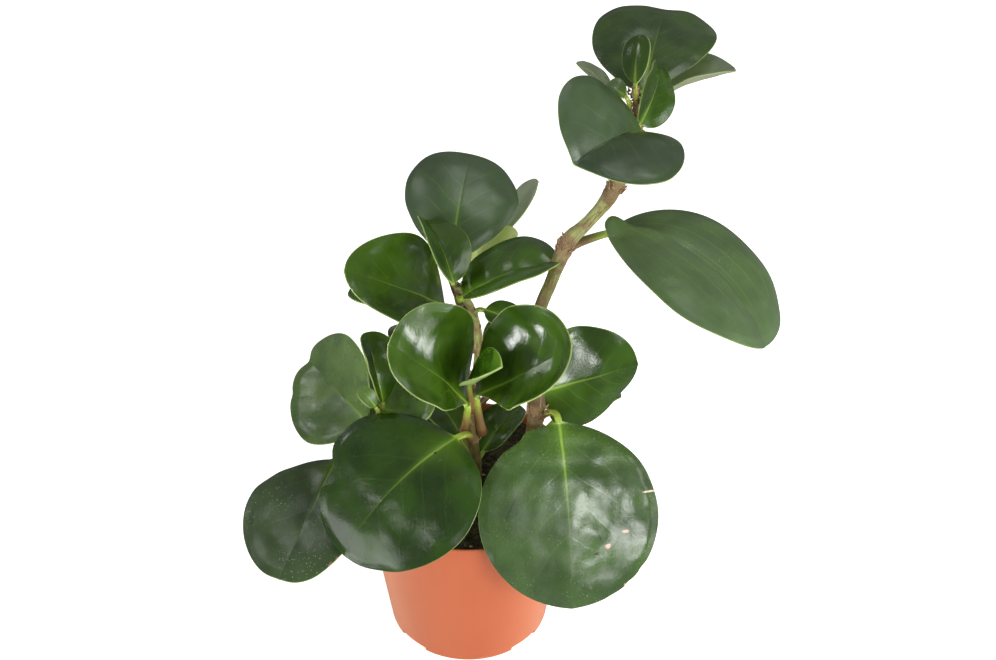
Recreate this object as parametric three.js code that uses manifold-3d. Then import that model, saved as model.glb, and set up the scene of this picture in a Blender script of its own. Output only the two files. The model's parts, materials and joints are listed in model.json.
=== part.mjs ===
// Potted peperomia: glossy rounded leaves on thick stems in a terracotta-coloured nursery pot.
// Millimetres, +Z up. Origin: centre of the pot's foot. -Y is the front, +X the right.
import * as THREE from 'three';
import { mergeVertices } from 'three/addons/utils/BufferGeometryUtils.js';
import Module from 'manifold-3d';

const wasm = await Module();
wasm.setup();

// pot and soil
const POT_HEIGHT = 106;
const POT_TOP_DIAMETER = 120;
const POT_FOOT_DIAMETER = 91;
const POT_WALL = 1.8;
const POT_FLOOR = 4.5;
const POT_SIDES = 48;
const NOTCH_WIDTH = 18;
const NOTCH_HEIGHT = 3.4;
const NOTCH_FACE = 43.2; // distance of a drain notch's flat face from the axis
const NOTCH_DEPTH = 12;
const SOIL_LEVEL = 101;
const SOIL_SIDES = 40;
const GAP = 0.3; // between pieces that rest on each other

// stems and leaves
const ROOT_LEVEL = 76; // lower end of each stem, in the soil
const STEM_SIDES = 9;
const BLADE_MIDDLE = 1.7; // thickness along the midrib
const BLADE_EDGE = 0.9;

const DEGREE = Math.PI / 180;

const COLOURS = {
  pot: 0xdd7a53,
  soil: 0x292a1a,
  stem: 0x8a8f55,
  leaf: 0x4a6a1c,
  young: 0x6d9430,
};

// A closed body from a list of rings with the same number of points each. Seen along the
// body's way, a ring runs counter-clockwise.
function loft(rings) {
  const count = rings[0].length;
  const points = rings.flat();
  const triangles = [];
  for (let ring = 0; ring + 1 < rings.length; ring += 1) {
    for (let i = 0; i < count; i += 1) {
      const a = ring * count + i;
      const b = ring * count + (i + 1) % count;
      triangles.push(a, a + count, b + count, a, b + count, b);
    }
  }
  const last = (rings.length - 1) * count;
  for (let i = 1; i + 1 < count; i += 1) {
    triangles.push(0, i, i + 1, last, last + i + 1, last + i);
  }
  return solid(points, triangles);
}

function solid(points, triangles) {
  const vertProperties = new Float32Array(points.length * 3);
  points.forEach((point, i) => point.toArray(vertProperties, i * 3));
  return new wasm.Manifold(new wasm.Mesh({
    numProp: 3,
    vertProperties,
    triVerts: new Uint32Array(triangles),
  }));
}

function bodyOf(geometry) {
  geometry.deleteAttribute('normal');
  geometry.deleteAttribute('uv');
  const merged = mergeVertices(geometry);
  const { position } = merged.attributes;
  const points = [];
  for (let i = 0; i < position.count; i += 1) {
    points.push(new THREE.Vector3().fromBufferAttribute(position, i));
  }
  return solid(points, merged.index.array);
}

function toMesh(name, body, colour) {
  const { vertProperties, triVerts } = body.getMesh();
  const geometry = new THREE.BufferGeometry();
  geometry.setAttribute('position', new THREE.BufferAttribute(new Float32Array(vertProperties), 3));
  geometry.setIndex(Array.from(triVerts));
  geometry.computeVertexNormals();
  const material = new THREE.MeshStandardMaterial({ color: colour, roughness: 0.4 });
  const mesh = new THREE.Mesh(geometry, material);
  mesh.name = name;
  return mesh;
}

// A solid of revolution about Z from (radius, height) pairs that start and end on the axis.
function turned(profile, sides) {
  const points = [new THREE.Vector3(0, 0, profile[0][1])];
  const triangles = [];
  const inner = profile.slice(1, -1);
  for (const [radius, height] of inner) {
    for (let i = 0; i < sides; i += 1) {
      const angle = 2 * Math.PI * i / sides;
      points.push(new THREE.Vector3(radius * Math.cos(angle), radius * Math.sin(angle), height));
    }
  }
  points.push(new THREE.Vector3(0, 0, profile[profile.length - 1][1]));
  const end = points.length - 1;
  for (let i = 0; i < sides; i += 1) {
    const next = (i + 1) % sides;
    triangles.push(0, 1 + next, 1 + i);
    for (let ring = 0; ring + 1 < inner.length; ring += 1) {
      const low = 1 + ring * sides;
      const high = low + sides;
      triangles.push(low + i, low + next, high + next, low + i, high + next, high + i);
    }
    const top = 1 + (inner.length - 1) * sides;
    triangles.push(end, top + i, top + next);
  }
  return solid(points, triangles);
}

function buildPot() {
  const top = POT_TOP_DIAMETER / 2;
  const foot = POT_FOOT_DIAMETER / 2;
  const slope = (top - foot) / POT_HEIGHT;
  let pot = turned([
    [0, 0],
    [foot - 0.8, 0],
    [foot, 0.8],
    [top - 0.4, POT_HEIGHT - 0.7],
    [top - 0.9, POT_HEIGHT],
    [top - POT_WALL, POT_HEIGHT - 0.4],
    [foot + slope * POT_FLOOR - POT_WALL, POT_FLOOR],
    [0, POT_FLOOR],
  ], POT_SIDES);
  for (const turn of [45, 135, 225, 315]) {
    const cutter = new THREE.BoxGeometry(NOTCH_DEPTH, NOTCH_WIDTH, 2 * NOTCH_HEIGHT);
    cutter.translate(NOTCH_FACE + NOTCH_DEPTH / 2, 0, 0);
    cutter.rotateZ(turn * DEGREE);
    pot = pot.subtract(bodyOf(cutter));
  }
  return pot;
}

function buildSoil() {
  const slope = (POT_TOP_DIAMETER - POT_FOOT_DIAMETER) / 2 / POT_HEIGHT;
  const wallAt = (height) => POT_FOOT_DIAMETER / 2 + slope * height - POT_WALL - GAP;
  const bottom = POT_FLOOR + GAP;
  return turned([
    [0, bottom],
    [wallAt(bottom), bottom],
    [wallAt(SOIL_LEVEL - 1), SOIL_LEVEL - 1],
    [wallAt(SOIL_LEVEL) - 3, SOIL_LEVEL],
    [38, SOIL_LEVEL + 1],
    [18, SOIL_LEVEL],
    [0, SOIL_LEVEL + 0.6],
  ], SOIL_SIDES);
}

// A round rod along a smooth curve, standing upright at its lower end. Each node on it is a
// slight swelling, given as a share of the curve's length.
function rod(stem, extra = 0) {
  const way = stem.way.map((place) => new THREE.Vector3(...place));
  const foot = way[0].clone().setZ(ROOT_LEVEL - extra * 1.4);
  const curve = new THREE.CatmullRomCurve3([foot, ...way], false, 'centripetal');
  const rings = [];
  for (let i = 0; i <= stem.steps; i += 1) {
    const share = i / stem.steps;
    const centre = curve.getPointAt(share);
    const along = curve.getTangentAt(share);
    const side = new THREE.Vector3(1, 0, 0).addScaledVector(along, -along.x).normalize();
    const up = new THREE.Vector3().crossVectors(along, side);
    let radius = stem.radius * (1.05 - 0.25 * share);
    for (const node of stem.nodes) {
      radius += 0.25 * stem.radius * Math.exp(-(((share - node) / 0.045) ** 2));
    }
    const ring = [];
    for (let k = 0; k < STEM_SIDES; k += 1) {
      const angle = 2 * Math.PI * k / STEM_SIDES;
      ring.push(centre.clone()
        .addScaledVector(side, (radius + extra) * Math.cos(angle))
        .addScaledVector(up, (radius + extra) * Math.sin(angle)));
    }
    rings.push(ring.reverse());
  }
  return loft(rings);
}

// Axes of a leaf blade: along its midrib, to its left and out of its upper face.
function bladeAxes(leaf) {
  const heading = leaf.heading * DEGREE;
  const pitch = leaf.pitch * DEGREE;
  const roll = leaf.roll * DEGREE;
  const along = new THREE.Vector3(
    Math.cos(pitch) * Math.cos(heading), Math.cos(pitch) * Math.sin(heading), Math.sin(pitch));
  const level = new THREE.Vector3(-Math.sin(heading), Math.cos(heading), 0);
  const upright = new THREE.Vector3().crossVectors(along, level);
  const left = level.clone().multiplyScalar(Math.cos(roll)).addScaledVector(upright, Math.sin(roll));
  const out = new THREE.Vector3().crossVectors(along, left);
  return { along, left, out };
}

// Place on the blade's middle surface, s millimetres from its base and t to the left.
// arch bends it along the midrib, cup and fold lift its halves, twist turns its tip.
function bladePoint(leaf, axes, s, t) {
  const share = s / leaf.length;
  const bend = (leaf.arch || 0.01) * DEGREE;
  const lean = bend * (0.5 - share);
  const reach = leaf.length / bend * (Math.sin(bend / 2) - Math.sin(lean));
  const rise = leaf.length / bend * (Math.cos(lean) - Math.cos(bend / 2));
  const fold = leaf.fold * DEGREE;
  const curl = (leaf.cup || 0.01) * DEGREE / (leaf.width / 2);
  const across = Math.abs(t);
  let sideways = (Math.sin(fold + curl * across) - Math.sin(fold)) / curl * Math.sign(t);
  let lift = (Math.cos(fold) - Math.cos(fold + curl * across)) / curl;
  lift += leaf.wave * Math.sin(9 * share + (t > 0 ? 1 : 3.4)) * (2 * across / leaf.width) ** 2;
  const turn = leaf.twist * DEGREE * (share - 0.5);
  [sideways, lift] = [
    sideways * Math.cos(turn) - lift * Math.sin(turn),
    sideways * Math.sin(turn) + lift * Math.cos(turn),
  ];
  return new THREE.Vector3(...leaf.at)
    .addScaledVector(axes.along, reach - lift * Math.sin(lean))
    .addScaledVector(axes.left, sideways)
    .addScaledVector(axes.out, rise + lift * Math.cos(lean));
}

// A leaf: round stalk, then a blade whose rows follow the outline from base to tip.
function buildLeaf(leaf) {
  const axes = bladeAxes(leaf);
  const half = (leaf.points - 1) / 2;
  const rings = [];

  const lean = leaf.arch * DEGREE / 2;
  const start = new THREE.Vector3(...leaf.from);
  const end = bladePoint(leaf, axes, 0, 0);
  const arrival = axes.along.clone().multiplyScalar(Math.cos(lean))
    .addScaledVector(axes.out, Math.sin(lean));
  const bendPoint = end.clone().addScaledVector(arrival, -leaf.curve * start.distanceTo(end));
  const stalk = new THREE.QuadraticBezierCurve3(start, bendPoint, end);
  for (let i = 0; i < leaf.stalkRows; i += 1) {
    const share = i / leaf.stalkRows * 0.97;
    const centre = stalk.getPoint(share);
    const along = stalk.getTangent(share);
    const left = axes.left.clone().addScaledVector(along, -axes.left.dot(along)).normalize();
    const up = new THREE.Vector3().crossVectors(along, left);
    const radius = leaf.stalk * (1.1 - 0.2 * share);
    const ring = [];
    for (let k = 0; k < 2 * leaf.points; k += 1) {
      const angle = Math.PI * (1 - (k + 0.5) / leaf.points);
      ring.push(centre.clone()
        .addScaledVector(left, -radius * Math.cos(Math.PI - angle))
        .addScaledVector(up, radius * Math.sin(angle)));
    }
    rings.push(ring);
  }

  for (let row = 0; row < leaf.rows; row += 1) {
    const theta = Math.PI - 0.34 - (Math.PI - 0.34 - 0.14) * row / (leaf.rows - 1);
    const neck = 1 - leaf.neck * Math.exp(-(((Math.PI - theta) / 0.7) ** 2));
    const slim = leaf.slim * Math.exp(-(((Math.PI - theta) / 1.5) ** 2));
    const span = leaf.width / 2 * Math.sin(theta) * (1 + leaf.egg * Math.cos(theta)) * neck;
    const edgeAt = leaf.length * (0.5 + 0.5 * Math.cos(theta))
      - leaf.notch * Math.exp(-((theta / 0.25) ** 2));
    const middleAt = (leaf.length - leaf.notch) * (0.5 + 0.5 * Math.cos(theta));
    const ring = [];
    for (const face of [1, -1]) {
      for (let i = 0; i < leaf.points; i += 1) {
        const share = face * (i - half) / half;
        const s = middleAt + (edgeAt - middleAt) * share * share;
        const narrowing = share * slim > 0 ? 1 - Math.abs(slim) : 1;
        const t = share * span * narrowing * (1 + (share > 0 ? leaf.skew : -leaf.skew));
        const place = bladePoint(leaf, axes, s, t);
        const ahead = bladePoint(leaf, axes, s + 0.5, t).sub(place);
        const aside = bladePoint(leaf, axes, s, t + 0.5).sub(place);
        const normal = ahead.cross(aside).normalize();
        const rib = 1 + 0.7 * (1 - middleAt / leaf.length) * (share === 0 ? 1 : 0);
        const thickness = BLADE_EDGE + (BLADE_MIDDLE * rib - BLADE_EDGE) * (1 - share * share);
        ring.push(place.addScaledVector(normal, face * thickness / 2));
      }
    }
    rings.push(ring);
  }
  return loft(rings);
}

const STEMS = {
  right_stem: {
    way: [[28, 6, 101], [34, 1, 128], [38, -3, 156], [38, 4, 196], [39.5, 10, 219], [45, 13, 235],
      [51.5, 16.5, 254], [55, 18, 261], [62, 21.5, 266.5], [72, 26, 277], [80, 29, 292],
      [85, 34, 313], [87, 33, 331]],
    radius: 3.7,
    nodes: [0.3, 0.68, 0.97],
    steps: 24,
  },
  rear_stem: {
    way: [[2, 28, 101], [5, 25, 150], [6, 21, 192], [2, 18, 214], [-3, 17, 225], [-5, 15, 232]],
    radius: 3.4,
    nodes: [0.5, 0.95],
    steps: 13,
  },
  centre_stem: {
    way: [[5, 0, 101], [5, -4, 118], [4, -7, 134], [2.8, -9, 146], [2.2, -10, 156],
      [2, -10.5, 164]],
    radius: 3,
    nodes: [0.75],
    steps: 12,
  },
  left_stem: {
    way: [[-22, 10, 101], [-33, 9, 117], [-43, 8, 131], [-49, 7, 142]],
    radius: 2.9,
    nodes: [0.5, 0.95],
    steps: 11,
  },
};

// Sizes shared by a kind of leaf; each leaf below states its own place, pose and shape.
// egg moves the widest place to the tip, notch dents the tip, neck narrows the base, skew makes
// the left half the wider one, and slim narrows one half's base: the left half's above 0.
const LARGE = {
  points: 7, rows: 9, stalkRows: 4, stalk: 2.0,
  wave: 0.8, curve: 0.5, neck: 0.15, skew: 0, slim: 0, colour: 'leaf',
};
const SMALL = {
  points: 5, rows: 8, stalkRows: 3, stalk: 1.4,
  wave: 0.4, curve: 0.5, neck: 0.15, skew: 0, slim: 0, colour: 'leaf',
};
const YOUNG = {
  points: 5, rows: 8, stalkRows: 3, stalk: 1.2,
  wave: 0.2, curve: 0.2, neck: 0.15, skew: 0, slim: 0, colour: 'young',
};

const LEAVES = {
  // head of the right stem
  right_head_rear_leaf: {
    ...LARGE, from: [87, 36, 322], at: [92, 52, 331],
    heading: 78, pitch: 3, roll: -4, length: 74, width: 64,
    arch: 16, cup: -19, fold: 6, twist: 14, egg: 0.31, notch: 3,
    neck: 0.1, skew: 0.06,
  },
  right_head_front_leaf: {
    ...LARGE, from: [87, 35, 312], at: [89, 12, 334],
    heading: -129, pitch: 13, roll: -21, length: 59, width: 76,
    arch: 44, cup: -18, fold: 33, twist: -12, egg: 0.26, notch: 0,
    neck: -0.04, skew: 0.08, curve: 0.25,
  },
  right_head_young_leaf: {
    ...YOUNG, from: [87, 33, 331], at: [86, 28, 353],
    heading: 83, pitch: 34, roll: -25, length: 26, width: 16,
    arch: 19, cup: 12, fold: 3, twist: 2, egg: 0.12, notch: 0,
  },
  right_head_cupped_leaf: {
    ...SMALL, from: [88, 34, 326], at: [88.6, 22, 332],
    heading: 73, pitch: 17, roll: 59, length: 40, width: 26,
    arch: 29, cup: 6, fold: 16, twist: 0, egg: -0.1, notch: 0,
    neck: 0, skew: -0.05,
  },
  right_head_bud_leaf: {
    ...YOUNG, from: [85, 33, 323], at: [81, 28, 345],
    heading: 122, pitch: -9, roll: -35, length: 16, width: 12,
    arch: 23, cup: 16, fold: 5, twist: -1, egg: 0.07, notch: 0,
  },
  right_head_right_leaf: {
    ...SMALL, from: [86, 34, 308], at: [93, 62, 316],
    heading: 17, pitch: 13, roll: -22, length: 52, width: 47,
    arch: 24, cup: 26, fold: 7, twist: 7, egg: 0.03, notch: 0,
    neck: 0.04, skew: 0.05, curve: 0.2,
  },
  right_head_left_leaf: {
    ...SMALL, from: [84, 33, 304], at: [78, 57, 319],
    heading: 154, pitch: 40, roll: 30, length: 30, width: 26,
    arch: 23, cup: 17, fold: 7, twist: 5, egg: 0.08, notch: 0,
    curve: 0.25,
  },
  drooping_right_leaf: {
    ...LARGE, from: [54, 17.5, 256], at: [76.3, 25, 259.3],
    heading: -43, pitch: -10, roll: -17, length: 115, width: 93,
    arch: 82, cup: -42, fold: 18, twist: -36, egg: 0.43, notch: 0,
    neck: 0.3, skew: -0.04, stalk: 2.4, curve: 0.3,
  },

  // head of the rear stem
  rear_head_top_leaf: {
    ...LARGE, from: [-3, 18, 218], at: [-8, 42, 227],
    heading: 81, pitch: 21, roll: 2, length: 73, width: 66,
    arch: 73, cup: -42, fold: 4, twist: 17, egg: 0.2, notch: 2,
    neck: 0.4, skew: 0.02,
  },
  rear_head_left_leaf: {
    ...LARGE, from: [-1, 18, 208], at: [-12, 26, 207],
    heading: -153, pitch: 39, roll: -31, length: 74, width: 64,
    arch: 14, cup: 34, fold: 4, twist: -7, egg: -0.25, notch: 0,
    neck: 0.24, skew: 0.04,
  },
  rear_head_young_leaf: {
    ...YOUNG, from: [-5, 15, 232], at: [-7, 7, 240],
    heading: 108, pitch: 4, roll: 23, length: 51, width: 32,
    arch: 28, cup: 22, fold: 22, twist: 7, egg: -0.03, notch: 0,
    neck: 0.16, skew: 0.02,
  },
  rear_head_right_leaf: {
    ...LARGE, from: [-3, 18, 223], at: [-1, 8, 229],
    heading: 9, pitch: 19, roll: -12, length: 55, width: 52,
    arch: 34, cup: -21, fold: 24, twist: -1, egg: 0, notch: 0,
    neck: 0.06, skew: 0.03,
  },
  rear_head_back_leaf: {
    ...SMALL, from: [3, 19, 206], at: [6, 77, 196],
    heading: 24, pitch: 52, roll: -24, length: 59, width: 36,
    arch: 11, cup: 3, fold: 0, twist: 2, egg: 0.06, notch: 0,
    neck: 0.05, skew: 0,
  },
  rear_head_inner_leaf: {
    ...SMALL, from: [1, 18, 212], at: [-2, 54, 202],
    heading: 0, pitch: 48, roll: -4, length: 45, width: 28,
    arch: 28, cup: 24, fold: 7, twist: 1, egg: 0.08, notch: 0,
  },

  // head of the centre stem
  centre_left_leaf: {
    ...LARGE, from: [-2, -9.5, 146], at: [0.7, -17.4, 174.5],
    heading: -151, pitch: 54, roll: -37, length: 78, width: 75,
    arch: 20, cup: 60, fold: 1, twist: -20, egg: 0.12, notch: 0,
    neck: -0.2, skew: -0.03, slim: 1, curve: 0.1, stalk: 1.5,
  },
  centre_right_leaf: {
    ...LARGE, from: [8.2, -8.7, 146.5], at: [5.2, -11.8, 176.2],
    heading: -34, pitch: 48, roll: 42, length: 88.5, width: 76,
    arch: -17, cup: 74, fold: -1, twist: 4, egg: 0.16, notch: 0,
    neck: -0.08, skew: -0.04, slim: -1, curve: 0.05, stalk: 1.5,
  },
  centre_young_leaf: {
    ...YOUNG, from: [3, -10.3, 164], at: [1.4, -20.6, 194],
    heading: -54, pitch: 48, roll: 28, length: 44, width: 27,
    arch: 0, cup: 20, fold: 24, twist: 9, egg: 0.07, notch: 0,
    neck: 0.06, skew: 0.01, curve: 0, stalk: 0.9,
  },

  // large leaves low at the front and on the right
  front_left_leaf: {
    ...LARGE, from: [2.6, -9, 141], at: [-6, -24, 156],
    heading: -150, pitch: -38, roll: -18, length: 96, width: 92,
    arch: 80, cup: -11, fold: 1, twist: -22, egg: -0.22, notch: 0,
    neck: -0.07, skew: 0.01,
  },
  front_right_leaf: {
    ...LARGE, from: [38, -3, 150], at: [50, -18, 162],
    heading: -83, pitch: -54, roll: -4, length: 104, width: 102,
    arch: 40, cup: -10, fold: -6, twist: 10, egg: -0.02, notch: 0,
    neck: 0.09, skew: 0.04,
  },
  right_middle_leaf: {
    ...LARGE, from: [38, 0, 168], at: [41.5, 1, 168],
    heading: 20, pitch: 3, roll: 79, length: 56, width: 62,
    arch: 5, cup: 9, fold: -14, twist: 20, egg: -0.1, notch: 0, neck: -0.5,
  },

  // head of the left stem
  left_head_outer_leaf: {
    ...LARGE, from: [-50, 9, 126], at: [-55, 0, 146],
    heading: 121, pitch: -7, roll: -50, length: 73, width: 67,
    arch: -2, cup: 12, fold: 15, twist: 6, egg: -0.25, notch: 3,
    neck: 0.32, skew: -0.03, curve: 0.15,
  },
  left_head_folded_leaf: {
    ...SMALL, from: [-49, 7, 141], at: [-47, 12, 150],
    heading: 116, pitch: 57, roll: 30, length: 40, width: 29,
    arch: 8, cup: 41, fold: 12, twist: -11, egg: 0.18, notch: 0,
    neck: 0.1, skew: -0.08,
  },
  left_head_right_leaf: {
    ...SMALL, from: [-44, 8, 133], at: [-48, 24, 133],
    heading: -48, pitch: 30, roll: 40, length: 48, width: 40,
    arch: 13, cup: 37, fold: -4, twist: -41, egg: 0.04, notch: 0,
    neck: 0, skew: 0.05,
  },
  left_head_young_leaf: {
    ...YOUNG, from: [-48, 5, 144], at: [-50, -3, 160],
    heading: 150, pitch: 40, roll: -20, length: 14, width: 10,
    arch: 36, cup: 35, fold: 6, twist: -6, egg: 0.08, notch: 0,
  },
  low_left_leaf: {
    ...LARGE, from: [-32, 8, 112], at: [-74, 10, 107],
    heading: -111, pitch: -13, roll: 6, length: 84, width: 70,
    arch: 6, cup: 3, fold: 7, twist: -27, egg: -0.12, notch: 2,
    neck: 0.16, skew: -0.03,
  },

  // small leaves low on the stems
  rear_low_left_leaf: {
    ...SMALL, from: [5, 22, 178], at: [-16, 30, 201],
    heading: 178, pitch: 12, roll: 0, length: 50, width: 28,
    arch: 25, cup: 15, fold: 8, twist: 0, egg: 0, notch: 0,
  },
  rear_low_right_leaf: {
    ...SMALL, from: [6, 20, 198], at: [10, 15, 214],
    heading: -15, pitch: -20, roll: 10, length: 22, width: 20,
    arch: 25, cup: 15, fold: 8, twist: 0, egg: 0, notch: 0,
  },
  centre_low_right_leaf: {
    ...SMALL, from: [5, -4, 118], at: [9, 2, 122],
    heading: 50, pitch: 20, roll: -15, length: 34, width: 30,
    arch: 25, cup: 15, fold: 8, twist: 0, egg: 0, notch: 0,
  },
  centre_low_left_leaf: {
    ...SMALL, from: [5, -5, 124], at: [-4, 0, 136],
    heading: 125, pitch: 15, roll: 10, length: 36, width: 30,
    arch: 25, cup: 15, fold: 8, twist: 0, egg: 0, notch: 0,
  },

  // leaves at the back
  back_left_leaf: {
    ...LARGE, from: [3, 26, 138], at: [-14, 44, 150],
    heading: 112, pitch: -5, roll: -8, length: 46, width: 44,
    arch: 50, cup: 15, fold: 6, twist: 6, egg: 0.05, notch: 0,
  },
  back_right_leaf: {
    ...LARGE, from: [4, 26, 132], at: [20, 42, 144],
    heading: 68, pitch: -8, roll: 8, length: 48, width: 46,
    arch: 50, cup: 15, fold: 6, twist: -6, egg: 0.05, notch: 1,
  },
  back_low_right_leaf: {
    ...SMALL, from: [32, 3, 120], at: [50, 18, 132],
    heading: 38, pitch: 0, roll: -5, length: 42, width: 38,
    arch: 45, cup: 15, fold: 6, twist: 0, egg: 0.05, notch: 0,
  },
  back_low_left_leaf: {
    ...SMALL, from: [-29, 9, 111], at: [-44, 26, 122],
    heading: 128, pitch: 5, roll: 5, length: 46, width: 40,
    arch: 40, cup: 15, fold: 6, twist: 0, egg: 0.05, notch: 0,
  },
};

const object = new THREE.Group();
object.name = 'potted_peperomia';
object.add(toMesh('pot', buildPot(), COLOURS.pot));

const stems = Object.values(STEMS);
let soil = buildSoil();
for (const stem of stems) {
  soil = soil.subtract(rod(stem, GAP));
}
object.add(toMesh('soil', soil, COLOURS.soil));

const seats = stems.map((stem) => rod(stem, GAP));
for (const [name, stem] of Object.entries(STEMS)) {
  object.add(toMesh(name, rod(stem), COLOURS.stem));
}
for (const [name, leaf] of Object.entries(LEAVES)) {
  let body = buildLeaf(leaf);
  for (const seat of seats) {
    body = body.subtract(seat);
  }
  body = body.decompose().sort((a, b) => b.volume() - a.volume())[0];
  object.add(toMesh(name, body, COLOURS[leaf.colour]));
}

export default object;
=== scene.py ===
# Potted peperomia: glossy rounded leaves on thick stems in a terracotta-coloured nursery pot.
# Metres, +Z up. Origin: centre of the pot's foot. -Y is the front, +X the right.
import json
import math

import bpy
import numpy as np
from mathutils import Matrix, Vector

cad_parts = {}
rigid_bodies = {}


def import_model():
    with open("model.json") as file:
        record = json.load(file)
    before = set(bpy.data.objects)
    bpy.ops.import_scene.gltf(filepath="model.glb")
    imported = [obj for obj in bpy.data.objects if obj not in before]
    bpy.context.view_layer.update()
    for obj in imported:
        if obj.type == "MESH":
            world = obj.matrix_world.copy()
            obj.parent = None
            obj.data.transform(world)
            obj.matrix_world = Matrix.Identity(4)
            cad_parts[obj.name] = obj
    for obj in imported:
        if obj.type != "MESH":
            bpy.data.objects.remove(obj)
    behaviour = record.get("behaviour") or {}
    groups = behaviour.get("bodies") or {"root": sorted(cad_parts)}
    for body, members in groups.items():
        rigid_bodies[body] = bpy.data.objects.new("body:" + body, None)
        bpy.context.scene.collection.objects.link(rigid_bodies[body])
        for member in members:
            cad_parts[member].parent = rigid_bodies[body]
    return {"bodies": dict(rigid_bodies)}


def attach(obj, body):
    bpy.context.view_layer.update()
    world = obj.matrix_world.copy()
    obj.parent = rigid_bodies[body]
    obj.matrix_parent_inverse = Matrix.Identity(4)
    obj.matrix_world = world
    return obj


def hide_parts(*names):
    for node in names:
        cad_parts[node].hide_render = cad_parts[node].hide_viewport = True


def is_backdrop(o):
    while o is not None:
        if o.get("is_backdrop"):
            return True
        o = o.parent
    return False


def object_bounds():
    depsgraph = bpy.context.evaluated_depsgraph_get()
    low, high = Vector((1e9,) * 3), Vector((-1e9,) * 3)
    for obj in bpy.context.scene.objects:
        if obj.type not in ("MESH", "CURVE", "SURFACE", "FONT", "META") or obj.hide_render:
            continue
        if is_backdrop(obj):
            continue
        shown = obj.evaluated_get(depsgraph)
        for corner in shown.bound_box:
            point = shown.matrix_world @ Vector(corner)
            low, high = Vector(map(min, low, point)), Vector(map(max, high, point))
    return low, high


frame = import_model()
cad_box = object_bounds()
BODY = next(iter(frame["bodies"]))
MM = 0.001

# the photograph's view
IMAGE_WIDTH = 996
SENSOR_WIDTH = 36.0  # mm
FOCAL_LENGTH = 2350  # pixels
VIEW_PITCH = math.radians(41)
VIEW_DISTANCE = 1.25
VIEW_TARGET = (0.017, 0.0, 0.213)

# pot and soil, millimetres
POT_HEIGHT = 106
POT_TOP_RADIUS = 60
POT_FOOT_RADIUS = 45.5
POT_WALL = 1.8
POT_FLOOR = 4.5
POT_SIDES = 240
NOTCH_FACE = 43.2  # from the pot's axis
NOTCH_WIDTH = 18
NOTCH_HEIGHT = 3.4
SOIL_LEVEL = 101
SOIL_SIDES = 160
ROOT_LEVEL = 76

# stems, millimetres
STEM_STEP = 0.8  # between the points of a stem's line
STEM_GIRTH = 20.0  # of the pattern on its skin
NODE_SCALES = 22  # round each node
CROWN_SCALES = 60

# leaf blades, millimetres
BLADE_MIDDLE = 1.5  # thickness
BLADE_EDGE = 0.85
GROOVE_DEPTH = 0.3
KEEL_DEPTH = 1.3
CALM_LENGTH = 12  # over which the ripples grow from the blade's base
STALK_END = 0.97  # share of the stalk where the blade takes over
SHEATH = 0.35  # how much thicker a stalk starts
SHEATH_LENGTH = 2.5
FAR_FROM_EDGE = 9.0  # what a stalk has for its distance from the blade's edge
STRAIGHT = math.radians(0.01)  # stands for no bend, which would divide by zero


# Stems and leaves, millimetres and degrees

# A stem has its swollen nodes at shares of its length, and ahead is how much higher up a stem its
# colours belong.
STEMS = {
    "right_stem": dict(
        way=[(28, 6, 101), (34, 1, 128), (38, -3, 156), (38, 4, 196), (39.5, 10, 219), (45, 13, 235),
             (51.5, 16.5, 254), (55, 18, 261), (62, 21.5, 266.5), (72, 26, 277), (80, 29, 292),
             (85, 34, 313), (87, 33, 331)],
        radius=3.7, nodes=(0.3, 0.68, 0.832, 0.97), ahead=0),
    "rear_stem": dict(
        way=[(2, 28, 101), (5, 25, 150), (6, 21, 192), (2, 18, 214), (-3, 17, 225), (-5, 15, 232)],
        radius=2.8, nodes=(0.5,), ahead=75),
    "centre_stem": dict(
        way=[(5, 0, 101), (5, -4, 118), (4, -7, 134), (2.8, -9, 146), (2.2, -10, 156),
             (2, -10.5, 164)],
        radius=3, nodes=(0.75,), ahead=0),
    "left_stem": dict(
        way=[(-22, 10, 101), (-33, 9, 117), (-43, 8, 131), (-49, 7, 142)],
        radius=2.9, nodes=(0.5, 0.95), ahead=0),
}

# what leaves share unless their own row says otherwise, and their kinds
COMMON = dict(notch=0, neck=0.15, skew=0, slim=0, nicks=(), lobes=(), stalk_rows=12,
              finish="glossy")
LARGE = dict(COMMON, columns=41, rows=66, stalk=2.0, wave=0.8, curve=0.5, uneven=0.4)
SMALL = dict(COMMON, columns=31, rows=48, stalk=1.4, wave=0.4, curve=0.5, uneven=0.25)
YOUNG = dict(COMMON, columns=25, rows=32, stalk_rows=10, stalk=1.2, wave=0.2, curve=0.2,
             uneven=0.1, finish="young")


def plan(kind, root, at, turn, size, bends, egg=0, **more):
    """A leaf of a kind: where its stalk and its blade start, the blade's turn (heading, pitch,
    roll), its size (length, width), its bends (arch, cup, fold, twist), how much wider it is
    near its tip, and what else differs from its kind."""
    return dict(kind, root=root, at=at, turn=turn, size=size, bends=bends, egg=egg, **more)


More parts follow.
